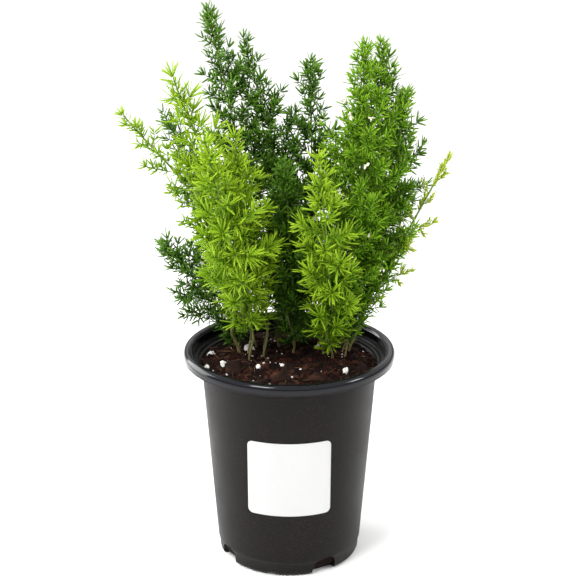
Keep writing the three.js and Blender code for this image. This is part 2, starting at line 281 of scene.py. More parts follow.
# %% Pot plastic
plastic, tree, shader = new_material("moulded_black_hdpe", IOR=1.5, Specular_IOR_Level=0.17,
                                     Coat_Roughness=0.12, Coat_IOR=1.5)
place = add(tree, "TexCoord").outputs["Object"]
haze = add(tree, "TexNoise", {"Scale": 22.0, "Detail": 4.0, "Roughness": 0.6}, {"Vector": place})
# Scuffs run round the pot: stretched noise, about 1 mm wide and 12 mm long.
stretch = add(tree, "Mapping", {"Scale": (90.0, 90.0, 900.0)}, {"Vector": place})
streak = add(tree, "TexNoise", {"Scale": 1.0, "Detail": 3.0}, {"Vector": stretch.outputs["Vector"]})
scuff = add(tree, "MapRange", {"From Min": 0.66, "From Max": 0.78},
            {"Value": streak.outputs["Fac"]})
patch = add(tree, "MapRange", {"From Min": 0.55, "From Max": 0.75, "To Max": 0.5},
            {"Value": haze.outputs["Fac"]})
worn = add(tree, "Math", {"operation": "MULTIPLY"},
           {0: scuff.outputs["Result"], 1: patch.outputs["Result"]})
black = add(tree, "Mix", {"data_type": "RGBA", 6: "#090505", 7: "#0f0b0a"},
            {0: haze.outputs["Fac"]})
scuffed = add(tree, "Mix", {"data_type": "RGBA", 7: "#4a4745"},
              {0: worn.outputs[0], 6: black.outputs[2]})
# Potting dust: warm specks of about 1 mm, thickest where the haze is dull.
dust = add(tree, "TexNoise", {"Scale": 1000.0, "Detail": 3.0}, {"Vector": place})
speck = add(tree, "MapRange", {"From Min": 0.52, "From Max": 0.78, "To Max": 0.5},
            {"Value": dust.outputs["Fac"]})
settled = add(tree, "Math", {"operation": "MULTIPLY"},
              {0: speck.outputs["Result"], 1: haze.outputs["Fac"]})
skin = add(tree, "Mix", {"data_type": "RGBA", 7: "#4d443c"},
           {0: settled.outputs[0], 6: scuffed.outputs[2]})
sheen = add(tree, "MapRange", {"From Min": 0.3, "From Max": 0.7, "To Min": 0.36, "To Max": 0.5},
            {"Value": haze.outputs["Fac"]})
# The rolled lip comes from a more polished part of the tool, and hands keep it smooth: its
# roughness falls by 70 percent and a thin coat adds gloss. Its black is also tinted a little
# blue, a painted reflection on the glossy lip.
height = add(tree, "SeparateXYZ", {}, {"Vector": place})
on_lip = add(tree, "MapRange", {"From Min": 0.1565, "From Max": 0.159},
             {"Value": height.outputs["Z"]})
polish = add(tree, "Math", {"operation": "MULTIPLY_ADD", 1: -0.7, 2: 1.0},
             {0: on_lip.outputs["Result"]})
gloss = add(tree, "Math", {"operation": "MULTIPLY"},
            {0: sheen.outputs["Result"], 1: polish.outputs[0]})
coat = add(tree, "Math", {"operation": "MULTIPLY", 1: 0.3}, {0: on_lip.outputs["Result"]})
# Painted reflection: the lip's black is tinted blue.
skin_and_painted_lip_blue = add(tree, "Mix", {"data_type": "RGBA", 7: "#0a0b12"},
            {0: on_lip.outputs["Result"], 6: skin.outputs[2]})
# Tool grain, drawn at 0.8 mm, coarser than the real one so that it shows.
grain = add(tree, "TexNoise", {"Scale": 1200.0, "Detail": 2.0}, {"Vector": place})
bump = add(tree, "Bump", {"Strength": 0.12, "Distance": 0.0002}, {"Height": grain.outputs["Fac"]})
wire(tree, shader, {"Base Color": skin_and_painted_lip_blue.outputs[2], "Coat Weight": coat.outputs[0],
                    "Roughness": gloss.outputs[0], "Normal": bump.outputs["Normal"]})

# %% [markdown]
# ### Drainage notches
# Four wide notches and four narrow ones alternate round the foot, where wall meets floor. Each
# is a lopsided arch pushed through the wall from outside. The outline could be worked into the
# turned rings, but a boolean with an exact solver keeps the wall as it is and its edges crisp.

# %% Shape of a notch
WIDE = (-60.5, 10 * MM, 12.3 * MM)       # degrees from +X, half width, height
NARROW = (-105, 4.2 * MM, 3.2 * MM)
CUT_FROM = 46 * MM                       # radii between which a notch is cut
CUT_TO = 60 * MM
CREASE = math.radians(38)                # edges sharper than this stay crisp


def notch_outline(half, height):
    """A lopsided arch, steeper on its right."""
    start = [(-half, -1 * MM), (half, -1 * MM), (half, 0.2 * height)]
    right = [(1.0 - 0.62 * t * t, 0.25 + 0.75 * (1 - (1 - t) ** 2)) for t in np.linspace(0.15, 1, 7)]
    left = [(0.38 - 1.3 * t, 1 - 0.12 * t - 0.55 * t ** 8) for t in np.linspace(0.12, 1, 10)]
    return start + [(half * x, height * z) for x, z in right + left]


# %% The cutters
cutters = []
for quarter in range(4):
    for angle, half, height in (WIDE, NARROW):
        turn = math.radians(angle + 90 * quarter)
        out = Vector((math.cos(turn), math.sin(turn), 0))
        across = Vector((-math.sin(turn), math.cos(turn), 0))
        outline = notch_outline(half, height)
        n = len(outline)
        points = [out * r + across * x + Vector((0, 0, z))
                  for r in (CUT_FROM, CUT_TO) for x, z in outline]
        faces = [list(range(n))[::-1], list(range(n, 2 * n))]
        faces += [[i, (i + 1) % n, n + (i + 1) % n, n + i] for i in range(n)]
        cutter_mesh = bpy.data.meshes.new("cutter")
        cutter_mesh.from_pydata(points, [], faces)
        cutters.append(bpy.data.objects.new("cutter", cutter_mesh))
        bpy.context.collection.objects.link(cutters[-1])

# %% Turn the pot and cut it
points, faces = turned(profile, SEGMENTS)
pot = make_piece("nursery_pot_shell", points, faces, plastic, ["nursery_pot"])
for item in [pot] + cutters:
    bm = bmesh.new()
    bm.from_mesh(item.data)
    bmesh.ops.recalc_face_normals(bm, faces=bm.faces)
    bm.to_mesh(item.data)
    bm.free()
for cutter in cutters:
    cut = pot.modifiers.new("notch", "BOOLEAN")
    cut.operation = "DIFFERENCE"
    cut.solver = "EXACT"
    cut.object = cutter
shape = bpy.data.meshes.new_from_object(pot.evaluated_get(bpy.context.evaluated_depsgraph_get()))
pot.modifiers.clear()
pot.data = shape
for cutter in cutters:
    bpy.data.objects.remove(cutter)
bm = bmesh.new()
bm.from_mesh(shape)
for edge in bm.edges:
    edge.smooth = edge.is_manifold and edge.calc_face_angle(0) < CREASE
bm.to_mesh(shape)
bm.free()
print("pot faces", len(shape.polygons))

# %% [markdown]
# ## The label
# A sticker of coated paper, 63.5 mm wide and a little less tall, with rounded corners, wrapped on
# the front of the wall. A grid bent to the wall's cone, with a real thickness, is enough. It
# carries nothing.

# %% Label
label_low, label_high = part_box("blank_label")
LABEL_Z = (label_low.z + label_high.z) / 2
LABEL_HALF = 63.5 * MM / 2           # measured round the wall
LABEL_TALL = (label_high.z - label_low.z) / 2
CORNER = 4 * MM
LABEL_LIFT = 0.12 * MM
LABEL_THICK = 0.18 * MM
COLUMNS = 48


def label_half_width(v):
    """Half the sticker's width at a height v from its middle, with its corners rounded."""
    over = max(0, abs(v) - (LABEL_TALL - CORNER))
    return LABEL_HALF - CORNER + math.sqrt(max(0, CORNER ** 2 - over ** 2))


flat = LABEL_TALL - CORNER
rows = [flat * t for t in np.linspace(-1, 1, 25)]
bend = [flat + CORNER * math.sin(math.radians(a)) for a in (12, 24, 36, 48, 60, 70, 80, 88)]
rows = [-v for v in reversed(bend)] + rows + bend
points, faces = [], []
for lift in (LABEL_LIFT, LABEL_LIFT + LABEL_THICK):
    for v in rows:
        for c in range(COLUMNS + 1):
            u = label_half_width(v) * (2 * c / COLUMNS - 1)
            z = LABEL_Z + v
            radius = wall_at(z) + lift + 0.05 * MM * noise.noise(Vector((u * 60, v * 60, 3)))
            angle = u / wall_at(z)
            points.append((radius * math.sin(angle), -radius * math.cos(angle), z))
width = COLUMNS + 1
layer = width * len(rows)
for r in range(len(rows) - 1):
    for c in range(COLUMNS):
        a = r * width + c
        square = (a, a + 1, a + width + 1, a + width)
        faces.append(tuple(corner + layer for corner in square))
        faces.append((a, a + width, a + width + 1, a + 1))
rim_loop = list(range(width)) + [r * width + COLUMNS for r in range(1, len(rows))]
rim_loop += [(len(rows) - 1) * width + c for c in range(COLUMNS - 1, -1, -1)]
rim_loop += [r * width for r in range(len(rows) - 2, 0, -1)]
for a, b in zip(rim_loop, rim_loop[1:] + rim_loop[:1]):
    faces.append((a, b, b + layer, a + layer))

# %% Label paper
sticker, tree, shader = new_material("coated_label_paper", Roughness=0.4, IOR=1.48)
place = add(tree, "TexCoord").outputs["Object"]
# Paper fibre under the coating, drawn at 1 mm.
fibre = add(tree, "TexNoise", {"Scale": 900.0, "Detail": 3.0}, {"Vector": place})
tint = add(tree, "Mix", {"data_type": "RGBA", 6: "#cbcbcb", 7: "#d3d3d3"},
           {0: fibre.outputs["Fac"]})
press = add(tree, "Bump", {"Strength": 0.08, "Distance": 0.0001}, {"Height": fibre.outputs["Fac"]})
wire(tree, shader, {"Base Color": tint.outputs[2], "Normal": press.outputs["Normal"]})
make_piece("blank_sticker", points, faces, sticker, ["blank_label"])
print("label", round(2 * LABEL_HALF * 1000, 1), "by", round(2 * LABEL_TALL * 1000, 1), "mm")

# %% [markdown]
# ## Reading a shoot's line
# The CAD stem of each shoot is a slim tube of rings. The middle of each ring gives the line that
# the shoot follows, and the distance from the middle its thickness. A smooth curve through the
# middles then serves for stem and foliage alike.


# %% Lines of the shoots
RING_REACH = 4 * MM          # wider than a stem, shorter than the way to the next ring


def stem_rings(node):
    """Middle and radius of each ring of a CAD stem, from its foot up."""
    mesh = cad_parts[node].data
    left = np.empty(len(mesh.vertices) * 3)
    mesh.vertices.foreach_get("co", left)
    left = np.unique(left.reshape(-1, 3).round(6), axis=0)
    here = left[left[:, 2].argmin()]
    rings = []
    while len(left):
        near = np.linalg.norm(left - here, axis=1) < RING_REACH
        middle = left[near].mean(0)
        rings.append((middle, np.linalg.norm(left[near] - middle, axis=1).max()))
        left = left[~near]
        if len(left):
            here = left[np.linalg.norm(left - middle, axis=1).argmin()]
    return np.array([m for m, _ in rings]), np.array([r for _, r in rings])


def smooth_line(points, steps):
    """A Catmull-Rom curve through the points, with this many steps between two of them."""
    ends = np.vstack([2 * points[0] - points[1], points, 2 * points[-1] - points[-2]])
    line = []
    for p0, p1, p2, p3 in zip(ends, ends[1:], ends[2:], ends[3:]):
        for t in np.arange(steps) / steps:
            line.append(0.5 * (2 * p1 + (p2 - p0) * t + (2 * p0 - 5 * p1 + 4 * p2 - p3) * t ** 2
                               + (3 * p1 - p0 - 3 * p2 + p3) * t ** 3))
    return np.array(line + [points[-1]])


class Line:
    """A smooth line that can be asked for its point and direction at a distance from its foot."""

    def __init__(self, points):
        self.points = points
        self.run = np.concatenate([[0], np.cumsum(np.linalg.norm(np.diff(points, axis=0), axis=1))])
        self.length = self.run[-1]

    def at(self, s):
        return np.stack([np.interp(s, self.run, self.points[:, k]) for k in range(3)], -1)

    def along(self, s):
        d = self.at(np.minimum(s + 1 * MM, self.length)) - self.at(np.maximum(s - 1 * MM, 0))
        return d / np.linalg.norm(d, axis=-1, keepdims=True)


shoots = {}
for node in sorted(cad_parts):
    if node.startswith("stem_"):
        middles, radii = stem_rings(node)
        shoots[node.removeprefix("stem_")] = (Line(smooth_line(middles, 6)), radii)
print(len(shoots), "shoots, the longest", round(max(l.length for l, _ in shoots.values()) * 1000), "mm")

# %% [markdown]
# ## Needles and twigs
# The plant has no true leaves: its needles are flat green twigs 6 to 13 mm long and little more
# than 1 mm wide, in whorls of three to five. Tens of thousands are needed, so one spindle,
# four-sided and gently bent, is placed by arrays rather than object by object. The same spindle,
# longer, makes the side twigs that carry them. Each also stores three numbers for its material:
# a random one, how far along it a point is, and how young that part of the shoot is; the last
# is low on inner, lower needles, so it carries painted shade as well as age.

# %% The spindle
SPINDLE_RINGS = ((0.24, 1.0), (0.8, 0.86))       # share of the length, share of the width


def spindle_faces():
    """The 16 triangles of a spindle's 10 points (foot, two rings, tip), with their flat map."""
    faces, places = [], []
    for j in range(4):
        u, v = j / 4, (j + 1) / 4
        a, b, c, d = 1 + j, 1 + (j + 1) % 4, 5 + j, 5 + (j + 1) % 4
        faces += [(0, b, a), (a, b, d), (a, d, c), (c, d, 9)]
        places += [((u + v) / 2, 0), (v, 0.3), (u, 0.3), (u, 0.3), (v, 0.3), (v, 0.7),
                   (u, 0.3), (v, 0.7), (u, 0.7), (u, 0.7), (v, 0.7), ((u + v) / 2, 1)]
    return np.array(faces), np.array(places)


SPINDLE_FACES, SPINDLE_PLACES = spindle_faces()


def spindles(foot, aim, length, bend, side, half_width, half_thick):
    """Points of many spindles at once; an input has a row or number for each, or one for all."""
    half_width = np.broadcast_to(half_width, len(foot))
    half_thick = np.broadcast_to(half_thick, len(foot))
    across = np.cross(aim, side)
    across /= np.linalg.norm(across, axis=1, keepdims=True)
    side = np.cross(across, aim)
    rows = [foot]
    for t, w in SPINDLE_RINGS:
        middle = foot + aim * (length * t)[:, None] + bend * t * t
        for x, y in ((1, 0), (0, 1), (-1, 0), (0, -1)):
            rows.append(middle + side * (x * w * half_width)[:, None]
                        + across * (y * w * half_thick)[:, None])
    rows.append(foot + aim * length[:, None] + bend)
    return np.stack(rows, 1)


def give_cells(mesh, count, places):
    """A flat map in which each of the mesh's many small bodies has a cell of its own."""
    cells = math.ceil(math.sqrt(count))
    corner = np.stack([np.arange(count) % cells, np.arange(count) // cells], 1)
    uv = (corner[:, None] + 0.1 + 0.8 * places[None]) / cells
    mesh.uv_layers.new(name="OFBake").uv.foreach_set("vector", uv.astype(np.float32).ravel())


def spindle_mesh(name, shapes, tones):
    """A mesh of spindles, with the tone of every point and a cell for each."""
    count = len(shapes)
    points = shapes.reshape(-1, 3)
    faces = (SPINDLE_FACES[None] + 10 * np.arange(count)[:, None, None]).reshape(-1, 3)
    mesh = bpy.data.meshes.new(name)
    mesh.vertices.add(len(points))
    mesh.vertices.foreach_set("co", points.astype(np.float32).ravel())
    mesh.loops.add(faces.size)
    mesh.loops.foreach_set("vertex_index", faces.astype(np.int32).ravel())
    mesh.polygons.add(len(faces))
    mesh.polygons.foreach_set("loop_start", np.arange(0, faces.size, 3, dtype=np.int32))
    mesh.update(calc_edges=True)
    colour = mesh.color_attributes.new("tone", "FLOAT_COLOR", "POINT")
    colour.data.foreach_set("color", tones.reshape(-1, 4).astype(np.float32).ravel())
    give_cells(mesh, count, SPINDLE_PLACES)
    return mesh


# %% [markdown]
# ## Growing a plume
# Side twigs leave the stem in a spiral, each turned 137.5 degrees from the last, which is how
# the real plant packs them without gaps. They lean out, curve up towards the light, are longest
# in the lower half and shrink to the tip. Whorls of needles run along each twig and end in a
# small tuft. All of it is random within limits, from a fixed seed, so it grows alike each time.

# %% Whorls of needles
GOLDEN = math.radians(137.5)
UP = np.array([0, 0, 1.0])


def unit(v):
    return v / np.linalg.norm(v, axis=-1, keepdims=True)


def whorls(foot, aim, length, bend, rng, kind):
    """Needles round one twig: arrays of their feet, aims, lengths and shares along the twig."""
    stations = np.arange(kind["bare"] * length, length, kind["whorl_step"])
    rows = []
    roll = rng.uniform(0, 6.28)
    for s in np.append(stations, length):
        t = s / length
        here = foot + aim * s + bend * t * t
        ahead = unit(aim * length + 2 * bend * t)
        sideways = unit(np.cross(ahead, [0.31, 0.42, 0.85]))
        upwards = np.cross(sideways, ahead)
        tip = s >= length
        n = kind["tuft"] if tip else kind["per_whorl"]
        n = max(2, n + rng.integers(-1, 2))
        roll += 0.9
        turns = roll + np.arange(n) * 2 * math.pi / n + rng.normal(0, 0.25, n)
        opening = rng.normal(kind["tuft_open"] if tip else kind["open"], kind["jitter"], n)
        ring = sideways * np.cos(turns)[:, None] + upwards * np.sin(turns)[:, None]
        direction = ahead * np.cos(opening)[:, None] + ring * np.sin(opening)[:, None] + UP * 0.1
        reach = kind["needle"] * rng.uniform(0.72, 1.12, n) * (0.8 + 0.2 * t)
        rows.append((np.repeat(here[None], n, 0), unit(direction), reach, np.full(n, t)))
    return [np.concatenate(column) for column in zip(*rows)]


# %% Side twigs
def side_twigs(foot, aim, length, bend, kind, rng):
    """Short twigs of the second order on a long twig."""
    found = []
    for share in np.arange(0.3, 0.85, 0.5 * kind["fork"] / length):
        ahead = unit(aim * length + 2 * bend * share)
        out = unit(np.cross(ahead, rng.normal(0, 1, 3)))
        turned_aim = unit(ahead * 0.72 + out * 0.7)
        reach = length * rng.uniform(0.28, 0.42) * (1.15 - share)
        twig_foot = foot + aim * length * share + bend * share ** 2
        found.append((twig_foot, turned_aim, reach, out * 0.05 * reach))
    return found


# %% A whole plume
def grow(line, start, reach, kind, rng, tip_taper=80 * MM, foot_rise=40 * MM):
    """Twigs and needles round a line from a distance on, as rows for the spindle arrays."""
    twigs, needles = [], []
    s = start
    turn = rng.uniform(0, 6.28)
    while s < line.length - kind["lead_clear"] * kind["lead"]:
        to_tip = line.length - s
        tip_share = kind["tip_share"] + (1 - kind["tip_share"]) * min(1, to_tip / tip_taper)
        full = tip_share * (0.45 + 0.55 * min(1, (s - start) / foot_rise))
        along = line.along(s)
        sideways = unit(np.cross(along, [0.2, 1.0, 0.1]))
        upwards = np.cross(sideways, along)
        lean = math.radians(rng.normal(kind["lean"] - 20 * (1 - min(1, to_tip / tip_taper)), 7))
        out = sideways * math.cos(turn) + upwards * math.sin(turn)
        aim = unit(along * math.cos(lean) + out * math.sin(lean))
        length = reach * full * rng.choice([0.75, 0.92, 1.0, 1.0, 1.15]) * rng.uniform(0.85, 1.1)
        length = max(length - 0.6 * kind["needle"], 2.5 * MM)
        bend = (along * 0.14 + UP * 0.1 + rng.normal(0, 0.08, 3)) * length
        group = [(line.at(s), aim, length, bend)]
        if length > kind["fork"]:
            group += side_twigs(*group[0], kind, rng)
        young = min(1, 0.35 + 0.65 * s / line.length)
        for twig in group:
            twigs.append(twig)
            feet, aims, lengths, share = whorls(*twig, rng, kind)
            # Tone: younger up the shoot and out along the twig, which also paints shade on the inner,
            # lower needles.
            needles.append((feet, aims, lengths, 0.25 + 0.55 * share * young + 0.2 * young))
        turn += GOLDEN
        s += kind["twig_step"] * rng.uniform(0.7, 1.3)
    # The leading tip carries needles itself, youngest of all.
    lead = min(kind["lead"], line.length - start)
    foot = line.at(line.length - lead)
    feet, aims, lengths, share = whorls(foot, unit(line.at(line.length) - foot), lead, np.zeros(3), rng,
                                        {**kind, "bare": 0.0, "whorl_step": kind["lead_step"]})
    needles.append((feet, aims, lengths * (1.1 - 0.25 * share), np.full(len(feet), 1.0)))
    return twigs, needles


# %% [markdown]
# ## Habits of shoot
# Mature plumes are dense and even; the full ones fork most, and three of those are darker.
# Soft plumes are this season's growth: longer needles in loose tufts that open like stars. A
# sparse shoot is thinner still, and one that is unfolding has short twigs, far apart, with small
# needles that still point forward. A habit is a table of sizes and angles, written as another
# with changes. Each shoot takes one habit, a reach and a tone.

# %% Habits and shoots
# lean is in degrees, the open angles in radians; a share is a part of a length.
MATURE = dict(needle=8.4 * MM, whorl_step=3.0 * MM, per_whorl=4, tuft=5, open=0.98, tuft_open=0.6,
              jitter=0.09, bare=0.12, lean=66, fork=15 * MM, twig_step=3.5 * MM, lead=28 * MM,
              lead_step=2.6 * MM, lead_clear=0.2, tip_share=0.26, width=0.7 * MM, age=0.0)
FULL = dict(MATURE, needle=8.8 * MM, twig_step=2.9 * MM, fork=12 * MM, tip_share=0.28, tuft=6,
            width=0.64 * MM)
# A full plume with its tone shifted darker.
DARKER_FULL = dict(FULL, age=-0.3)
SOFT = dict(MATURE, needle=12.6 * MM, whorl_step=4.1 * MM, open=1.0, tuft=10, tuft_open=0.78, lean=74,
            twig_step=4.4 * MM, lead=38 * MM, lead_step=3.4 * MM, lead_clear=0.4, tip_share=0.3)
SPARSE = dict(SOFT, needle=8.0 * MM, whorl_step=3.4 * MM, tuft=6, lean=56, bare=0.25,
              twig_step=6.0 * MM, lead=22 * MM, lead_step=3.0 * MM, lead_clear=0.3,
              width=0.62 * MM)
UNFOLDING = dict(SPARSE, needle=6.0 * MM, whorl_step=2.4 * MM, twig_step=8.5 * MM, open=0.55, tuft=5,
                 tuft_open=0.4, lead=26 * MM, lead_step=1.9 * MM, width=0.6 * MM)
# shoot: habit, reach in mm, how far twigs start below the CAD plume in mm, tone slot
HABITS = {
    "back_left_tall": (MATURE, 28, 8, "needles_deep"),
    "back_left_inner": (MATURE, 29, 8, "needles_deep"),
    "back_centre": (MATURE, 31, 14, "needles_deep"),
    "right_inner": (FULL, 32, 4, "needles_mid"),
    "right_tall": (DARKER_FULL, 29, 4, "needles_mid"),
    "right_edge": (DARKER_FULL, 21, 4, "needles_mid"),
    "front_right": (SOFT, 25, -4, "needles_bright"),
    "far_right_young": (UNFOLDING, 23, 30, "needles_young"),
    "left_front_tall": (SOFT, 26, -6, "needles_bright"),
    "far_left_young": (SPARSE, 24, 4, "needles_bright"),
    "left_low": (FULL, 40, 12, "needles_deep"),
    "left_rear": (MATURE, 26, 8, "needles_deep"),
    "front_left": (SOFT, 26, -6, "needles_bright"),
    "front_centre": (SOFT, 25, -3, "needles_bright"),
    "right_low": (FULL, 17, 4, "needles_mid"),
    "back_right": (DARKER_FULL, 30, 14, "needles_mid"),
    "back_low": (FULL, 29, 18, "needles_mid"),
    "heart": (FULL, 28, 26, "needles_deep"),
}

# %% [markdown]
# ### Living green
# The needles are waxy cladodes: green right through, with a soft sheen. Old growth is deep green
# and new growth yellow green. The same numbers also paint light and shade: needles low on a shoot
# and near a twig's foot take the dark shadow colour, painted shade inside the plume, and each
# needle lightens to its tip, a painted highlight. A picture of a leaf could be wrapped on; three
# stored numbers and one noise do the same at any distance.


# %% Needle material
def cladode(name, shadow, body, light):
    """A waxy needle: its colour runs from shadow through body as it gets younger and less shaded,
    partly painted shade; towards each needle's tip it turns to light, a painted highlight.
    """
    material, tree, shader = new_material(name, Roughness=0.55, IOR=1.42, Specular_IOR_Level=0.25)
    tone = add(tree, "Attribute", {"attribute_name": "tone"})
    parts = add(tree, "SeparateColor", {}, {"Color": tone.outputs["Color"]})
    place = add(tree, "TexCoord").outputs["Object"]
    # Clumps of lighter and darker growth, about 25 mm across.
    clump = add(tree, "TexNoise", {"Scale": 40.0, "Detail": 1.0}, {"Vector": place})
    # The stored age is low for needles low on the shoot and near a twig's foot: partly older growth,
    # partly painted shade inside the plume.
    age = add(tree, "Math", {"operation": "MULTIPLY_ADD", 1: 0.42},
              {0: parts.outputs["Red"], 2: parts.outputs["Blue"]})
    mixed = add(tree, "Math", {"operation": "MULTIPLY_ADD", 1: 0.5},
                {0: clump.outputs["Fac"], 2: age.outputs[0]})
    young = add(tree, "MapRange", {"From Min": 0.55, "From Max": 1.55}, {"Value": mixed.outputs[0]})
    # Painted shade in part: the shadow colour lands where that number is low.
    deep = add(tree, "Mix", {"data_type": "RGBA", 6: shadow, 7: body}, {0: young.outputs["Result"]})
    # Painted highlight: each needle lightens towards its tip.
    tip = add(tree, "Math", {"operation": "MULTIPLY"},
              {0: parts.outputs["Green"], 1: young.outputs["Result"]})
    colour = add(tree, "Mix", {"data_type": "RGBA", 7: light},
                 {0: tip.outputs[0], 6: deep.outputs[2]})
    wire(tree, shader, {"Base Color": colour.outputs[2]})
    return material


# The shadow and light ends of each green are partly painted shade and painted highlight.
GREENS = {
    "needles_deep": cladode("waxy_cladode_deep", "#133003", "#315c0b", "#75a42c"),
    "needles_mid": cladode("waxy_cladode_mid", "#325c06", "#60930e", "#9ac62a"),
    "needles_bright": cladode("waxy_cladode_bright", "#447204", "#7aa50a", "#b5d532"),
    "needles_young": cladode("waxy_cladode_young", "#859c23", "#a9bf37", "#ccdc58"),
}

# %% Grow the plumes
PLUME_SEED = 100
TWIG_HALF = 0.42 * MM
TWIG_AGE = 0.45
FLATNESS = 0.38              # a needle's thickness over its width
ALONG = np.repeat([0, 0.3, 0.7, 1], [1, 4, 4, 1])        # share of the way up, point by point
total = 0
for order, (name, (kind, reach, drop, slot)) in enumerate(HABITS.items()):
    rng = np.random.default_rng(PLUME_SEED + order)
    line, _ = shoots[name]
    foliage_low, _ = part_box("foliage_" + name)
    start = float(np.interp(foliage_low.z, line.points[:, 2], line.run)) - drop * MM
    twigs, needles = grow(line, start, reach * MM, kind, rng)
    foot, aim, length, age = (np.concatenate([n[k] for n in needles]) for k in range(4))
    side = unit(rng.normal(0, 1, foot.shape))
    sag = unit(rng.normal(0, 1, foot.shape)) * (0.10 * length)[:, None] + UP * (0.06 * length)[:, None]
    half = kind["width"] * rng.uniform(0.85, 1.1, len(foot))
    needle_shapes = spindles(foot, aim, length, sag, side, half, FLATNESS * half)
    count = len(foot)
    foot, aim, length, bend = (np.array([t[k] for t in twigs]) for k in range(4))
    side = unit(rng.normal(0, 1, foot.shape))
    twig_shapes = spindles(foot, aim, length, bend, side, TWIG_HALF, TWIG_HALF)
    shapes = np.concatenate([needle_shapes, twig_shapes])
    tones = np.ones((len(shapes), 10, 4))
    tones[:, :, 0] = rng.uniform(0, 1, len(shapes))[:, None]
    tones[:, :, 1] = ALONG[None]
    # The third number is age and painted shade together; twigs take one middling value.
    tones[:, :, 2] = np.concatenate([age + kind["age"], np.full(len(foot), TWIG_AGE)])[:, None]
    tones[count:, :, 1] = 0.2
    mesh = spindle_mesh("plume_" + name, shapes, tones)
    dress_piece("plume_" + name, mesh, GREENS[slot], ["foliage_" + name])
    total += count
print(total, "needles")

# %% [markdown]
# ### A few blossoms
# The fern flowers in tiny cream stars whose petals are about 3 mm long. Half a dozen sit on the
# right-hand plumes. They are the same spindle, shorter and wider, fanned from one point, in the
# needles' material with cream for green.

# %% Blossoms
BLOSSOM_SEED = 200
PETALS = 7
PETAL_HALF = 0.75 * MM
blossoms = np.array([[39, -19, 357], [43, -20, 346], [54, -26, 311], [58, -8, 254], [58, -20, 344],
                     [36, -24, 292]]) * MM
rng = np.random.default_rng(BLOSSOM_SEED)
foot = np.repeat(blossoms, PETALS, 0)
aim = unit(rng.normal(0, 1, foot.shape) + [0, -0.9, 0.5])
length = rng.uniform(2.6, 3.6, len(foot)) * MM
side = unit(rng.normal(0, 1, foot.shape))
shapes = spindles(foot, aim, length, aim * 0, side, PETAL_HALF, 0.5 * PETAL_HALF)
tones = np.ones((len(foot), 10, 4))
tones[:, :, 0] = rng.uniform(0, 1, len(foot))[:, None]
petal = cladode("cream_petal", "#bdb57c", "#e2dbab", "#f7f3dc")
dress_piece("blossoms", spindle_mesh("blossoms", shapes, tones), petal, [])
print(len(blossoms), "blossoms")

# %% [markdown]
# ## Stems
# Below the foliage the stems stand bare: slim canes, brown at the foot and green above, with a
# slight swelling and a blunt spur at every node. A tube swept along the line with its radius
# varied gives the cane, and spindles give the spurs.

# %% Cane material
cane, tree, shader = new_material("fern_cane", Roughness=0.5, IOR=1.45)
place = add(tree, "TexCoord").outputs["Object"]
axes = add(tree, "SeparateXYZ", {}, {"Vector": place})
upper = add(tree, "MapRange", {"From Min": 0.158, "From Max": 0.215}, {"Value": axes.outputs["Z"]})
mottle = add(tree, "TexNoise", {"Scale": 320.0, "Detail": 3.0}, {"Vector": place})
bark = add(tree, "Mix", {"data_type": "RGBA", 6: "#5f5232", 7: "#94895a"},
           {0: mottle.outputs["Fac"]})
green = add(tree, "Mix", {"data_type": "RGBA", 6: "#55701f", 7: "#7f9a3c"},
            {0: mottle.outputs["Fac"]})
rind = add(tree, "Mix", {"data_type": "RGBA"},
           {0: upper.outputs["Result"], 6: bark.outputs[2], 7: green.outputs[2]})
wire(tree, shader, {"Base Color": rind.outputs[2]})
# The rind is slightly rough; drawn as noise of about 3 mm with finer detail.
rough = add(tree, "Bump", {"Strength": 0.3, "Distance": 0.0002}, {"Height": mottle.outputs["Fac"]})
wire(tree, shader, {"Normal": rough.outputs["Normal"]})

# %% Sweep the canes
CANE_SEED = 300
CANE_SIDES = 9
CANE_STEP = 1.6 * MM         # from ring to ring
NODE_STEP = 11 * MM
NODE_HALF = 1.2 * MM         # half the length of a swelling
BARE_RUN = 80 * MM           # the part that wanders
WANDER = 3.2 * MM
SPUR_RUN = 120 * MM          # the part that carries spurs
SPUR_LENGTH = 3.4 * MM
SPUR_DROP = 0.6 * MM         # how far its tip hangs
SPUR_HALF = 0.6 * MM
SLIM = 0.68                  # the bare canes are thinner than their CAD tubes


